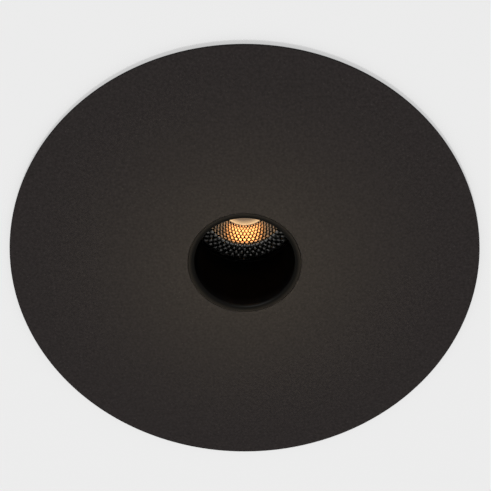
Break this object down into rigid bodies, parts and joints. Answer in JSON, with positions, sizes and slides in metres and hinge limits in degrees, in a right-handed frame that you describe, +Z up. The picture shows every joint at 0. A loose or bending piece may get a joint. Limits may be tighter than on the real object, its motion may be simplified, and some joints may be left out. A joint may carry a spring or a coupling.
{
  "type": "recessed light",
  "caption": "Round recessed ceiling downlight: dark bronze cover plate with a small deep dark-light aperture, faceted reflector, finned lamp housing and folding spring clips.",
  "frame": {"origin": "centre of the cover plate's foam gasket, on the face that seals against the ceiling", "axes": "+Z up into the ceiling void, along the lamp's axis; +X towards the right clip; +Y towards the cable gland"},
  "size_m": [0.2, 0.2, 0.1088],
  "materials": {
    "bronze_coat": "dark bronze satin powder coat with a fine grain",
    "closed_cell_foam": "black closed-cell foam, matte",
    "zinc_steel": "bright zinc plate, satin",
    "stainless_steel": "stainless, satin",
    "spring_steel": "drawn spring wire, bright",
    "black_casting": "die-cast aluminium, black powder coat",
    "anodised_aluminium": "black anodised aluminium, satin",
    "black_baffle": "black, semi-gloss inside",
    "black_silicone": "black silicone, matte",
    "grey_silicone": "grey gap-filler pad, matte",
    "clear_glass": "clear toughened glass, polished",
    "metallised_reflector": "moulded plastic, bright vacuum-metallised facets",
    "led_phosphor": "yellow phosphor, lit warm white",
    "copper_board": "white solder mask on a metal core",
    "white_nylon": "white moulded nylon",
    "black_nylon": "black moulded nylon, fine texture",
    "black_lead": "black silicone insulation",
    "red_lead": "red silicone insulation",
    "black_rubber": "black moulded rubber, matte"
  },
  "bodies": {
    "fixture": {"baffle": "black_baffle", "ceiling_gasket": "closed_cell_foam", "cover_plate": "bronze_coat", "gland_body": "black_nylon", "gland_nut": "black_nylon", "gland_o_ring": "black_silicone", "gland_seal": "black_silicone", "heat_sink": "anodised_aluminium", "heat_sink_o_ring": "black_silicone", "heat_sink_screws": "stainless_steel", "lamp_housing": "black_casting", "lead_negative": "black_lead", "lead_positive": "red_lead", "led_board": "copper_board", "led_clamp": "white_nylon", "led_clamp_screws": "stainless_steel", "led_emitter": "led_phosphor", "left_clip_bracket": "zinc_steel", "left_clip_pin": "stainless_steel", "left_clip_screws": "stainless_steel", "left_clip_spring": "spring_steel", "lens": "clear_glass", "lens_seal": "black_silicone", "plate_studs": "zinc_steel", "rear_cap": "black_nylon", "rear_cap_gasket": "black_silicone", "rear_cap_screws": "stainless_steel", "reflector": "metallised_reflector", "right_clip_bracket": "zinc_steel", "right_clip_pin": "stainless_steel", "right_clip_screws": "stainless_steel", "right_clip_spring": "spring_steel", "stud_nuts": "zinc_steel", "stud_washers": "zinc_steel", "terminal_block": "white_nylon", "terminal_screws": "zinc_steel", "thermal_pad": "grey_silicone"},
    "left_clip": {"left_clip_wing": "zinc_steel", "left_clip_pad": "black_rubber"},
    "right_clip": {"right_clip_wing": "zinc_steel", "right_clip_pad": "black_rubber"}
  },
  "joints": [
    {"name": "left_clip_fold", "type": "hinge", "parent": "fixture", "child": "left_clip", "pos_m": [-0.0381, 0, 0.02937], "axis": [0, 1, 0], "range_deg": [0, 115], "stiffness_Nm_per_rad": 0.2, "springref_deg": -85.94, "deforming": ["left_clip_spring"]},
    {"name": "right_clip_fold", "type": "hinge", "parent": "fixture", "child": "right_clip", "pos_m": [0.0381, 0, 0.02937], "axis": [0, -1, 0], "range_deg": [0, 115], "stiffness_Nm_per_rad": 0.2, "springref_deg": -85.94, "deforming": ["right_clip_spring"]}
  ]
}
